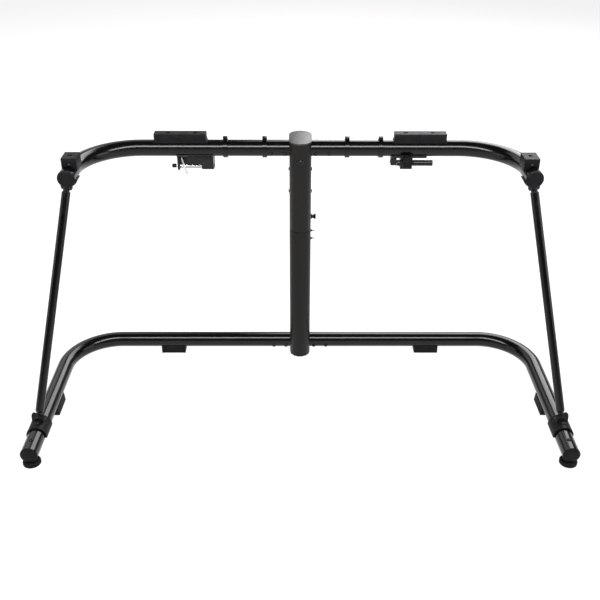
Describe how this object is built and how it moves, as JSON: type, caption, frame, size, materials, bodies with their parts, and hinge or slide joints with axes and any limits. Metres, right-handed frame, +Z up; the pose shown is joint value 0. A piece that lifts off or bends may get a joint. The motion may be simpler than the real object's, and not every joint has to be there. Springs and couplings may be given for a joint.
{
  "type": "keyboard stand",
  "caption": "Black tubular keyboard stand: bent base and top rails on a telescopic rear column, leaning front struts, rest pads and levelling feet.",
  "frame": {"origin": "on the floor, in the middle of the stand's footprint, halfway between the feet's front edge and the column cap's back edge", "axes": "+Z up, +X to the player's right, -Y towards the player; the column is at the back"},
  "size_m": [1.23, 0.5223, 0.6],
  "materials": {
    "gloss_paint": "glossy black paint",
    "satin_coat": "satin black powder coat",
    "dark_plastic": "fine-grained dark grey moulding",
    "black_rubber": "matte",
    "black_steel": "black oxide",
    "bright_steel": "bright plated",
    "bare_steel": "zinc plated",
    "nylon": "smooth natural nylon"
  },
  "bodies": {
    "base": {"column_lower": "satin_coat", "column_inner_profile": "bare_steel", "column_collar": "dark_plastic", "column_bottom_cap": "black_rubber", "column_peg_upper": "black_steel", "column_peg_lower": "black_steel", "cross_tube_lower": "bare_steel", "base_rail_left": "gloss_paint", "base_rail_right": "gloss_paint", "base_end_cap_left": "dark_plastic", "base_end_cap_right": "dark_plastic", "base_rear_pad_left": "black_rubber", "base_rear_pad_right": "black_rubber", "base_side_pad_left": "black_rubber", "base_side_pad_right": "black_rubber", "saddle_clamp_left": "dark_plastic", "saddle_clamp_right": "dark_plastic", "lower_pivot_pin_left": "black_steel", "lower_pivot_pin_right": "black_steel", "foot_plug_left": "bare_steel", "foot_plug_right": "bare_steel"},
    "top": {"column_sleeve": "satin_coat", "column_cap": "gloss_paint", "sleeve_liner": "nylon", "column_front_bolt": "black_steel", "cross_tube_upper": "bare_steel", "top_rail_left": "gloss_paint", "top_rail_right": "gloss_paint", "top_end_cap_left": "dark_plastic", "top_end_cap_right": "dark_plastic", "rear_pad_left_inner": "dark_plastic", "rear_pad_left_outer": "dark_plastic", "rear_pad_right_inner": "dark_plastic", "rear_pad_right_outer": "dark_plastic", "front_block_left": "dark_plastic", "front_block_right": "dark_plastic", "strut_hanger_left": "black_steel", "strut_hanger_right": "black_steel", "upper_pivot_pin_left": "black_steel", "upper_pivot_pin_right": "black_steel", "left_clamp_bracket": "black_steel", "right_clamp_bracket": "black_steel"},
    "lock_knob": {"height_lock_knob": "black_steel"},
    "left_clamp_screw": {"left_clamp_rod": "bright_steel", "left_clamp_knob": "dark_plastic"},
    "clamp_bar": {"right_clamp_bar": "gloss_paint"},
    "star_knob": {"star_knob": "dark_plastic"},
    "cable_clip_1": {"cable_clip_1": "gloss_paint"},
    "cable_clip_2": {"cable_clip_2": "gloss_paint"},
    "cable_clip_3": {"cable_clip_3": "gloss_paint"},
    "cable_clip_4": {"cable_clip_4": "gloss_paint"},
    "strut_outer_left": {"strut_outer_left": "gloss_paint"},
    "strut_inner_left": {"strut_inner_left": "black_steel"},
    "foot_stem_left": {"foot_stem_left": "bare_steel"},
    "foot_left": {"foot_left": "black_rubber"},
    "strut_outer_right": {"strut_outer_right": "gloss_paint"},
    "strut_inner_right": {"strut_inner_right": "black_steel"},
    "foot_stem_right": {"foot_stem_right": "bare_steel"},
    "foot_right": {"foot_right": "black_rubber"}
  },
  "joints": [
    {"name": "column_lift", "type": "slide", "parent": "base", "child": "top", "axis": [0, 0, 1], "range_m": [0, 0.05]},
    {"name": "strut_lower_left", "type": "hinge", "parent": "base", "child": "strut_outer_left", "pos_m": [-0.5915, -0.15377, 0.0595], "axis": [0.9235, -0.3835, 0], "range_deg": [-0.05, 2.12]},
    {"name": "strut_upper_left", "type": "hinge", "parent": "top", "child": "strut_inner_left", "pos_m": [-0.5097, 0.04322, 0.5358], "axis": [0.9235, -0.3835, 0], "range_deg": [-0.05, 2.12]},
    {"name": "strut_lower_right", "type": "hinge", "parent": "base", "child": "strut_outer_right", "pos_m": [0.5915, -0.15377, 0.0595], "axis": [0.9235, 0.3835, 0], "range_deg": [-0.05, 2.12]},
    {"name": "strut_upper_right", "type": "hinge", "parent": "top", "child": "strut_inner_right", "pos_m": [0.5097, 0.04322, 0.5358], "axis": [0.9235, 0.3835, 0], "range_deg": [-0.05, 2.12]},
    {"name": "foot_travel_left", "type": "slide", "parent": "base", "child": "foot_stem_left", "axis": [0, 0, -1], "range_m": [0, 0.0076]},
    {"name": "foot_turn_left", "type": "hinge", "parent": "foot_stem_left", "child": "foot_left", "pos_m": [-0.592, -0.24177, 0], "axis": [0, 0, -1], "range_deg": [0, 2160]},
    {"name": "foot_travel_right", "type": "slide", "parent": "base", "child": "foot_stem_right", "axis": [0, 0, -1], "range_m": [0, 0.0076]},
    {"name": "foot_turn_right", "type": "hinge", "parent": "foot_stem_right", "child": "foot_right", "pos_m": [0.592, -0.24177, 0], "axis": [0, 0, -1], "range_deg": [0, 2160]},
    {"name": "lock_knob_turn", "type": "hinge", "parent": "top", "child": "lock_knob", "pos_m": [0.02575, 0.21322, 0.388], "axis": [1, 0, 0], "continuous": true},
    {"name": "clip_turn_1", "type": "hinge", "parent": "top", "child": "cable_clip_1", "pos_m": [-0.1747, 0.21322, 0.563], "axis": [1, 0, 0], "range_deg": [-100, 100]},
    {"name": "clip_turn_2", "type": "hinge", "parent": "top", "child": "cable_clip_2", "pos_m": [-0.0832, 0.21322, 0.563], "axis": [1, 0, 0], "range_deg": [-100, 100]},
    {"name": "clip_turn_3", "type": "hinge", "parent": "top", "child": "cable_clip_3", "pos_m": [0.1091, 0.21322, 0.563], "axis": [1, 0, 0], "range_deg": [-100, 100]},
    {"name": "clip_turn_4", "type": "hinge", "parent": "top", "child": "cable_clip_4", "pos_m": [0.1874, 0.21322, 0.563], "axis": [1, 0, 0], "range_deg": [-100, 100]},
    {"name": "left_clamp_turn", "type": "hinge", "parent": "top", "child": "left_clamp_screw", "pos_m": [-0.2745, 0.21322, 0.519], "axis": [1, 0, 0], "continuous": true},
    {"name": "clamp_bar_slide", "type": "slide", "parent": "top", "child": "clamp_bar", "axis": [1, 0, 0], "range_m": [-0.015, 0.015]},
    {"name": "star_knob_turn", "type": "hinge", "parent": "top", "child": "star_knob", "pos_m": [0.249, 0.19123, 0.5385], "axis": [0, -1, 0], "continuous": true}
  ],
  "couplings": [
    {"joint": "strut_lower_left", "follows": "column_lift", "rad_per_m": 0.71989},
    {"joint": "strut_upper_left", "follows": "column_lift", "rad_per_m": 0.71989},
    {"joint": "strut_lower_right", "follows": "column_lift", "rad_per_m": 0.71989},
    {"joint": "strut_upper_right", "follows": "column_lift", "rad_per_m": 0.71989},
    {"joint": "foot_travel_left", "follows": "foot_turn_left", "m_per_rad": 0.00019894},
    {"joint": "foot_travel_right", "follows": "foot_turn_right", "m_per_rad": 0.00019894}
  ]
}
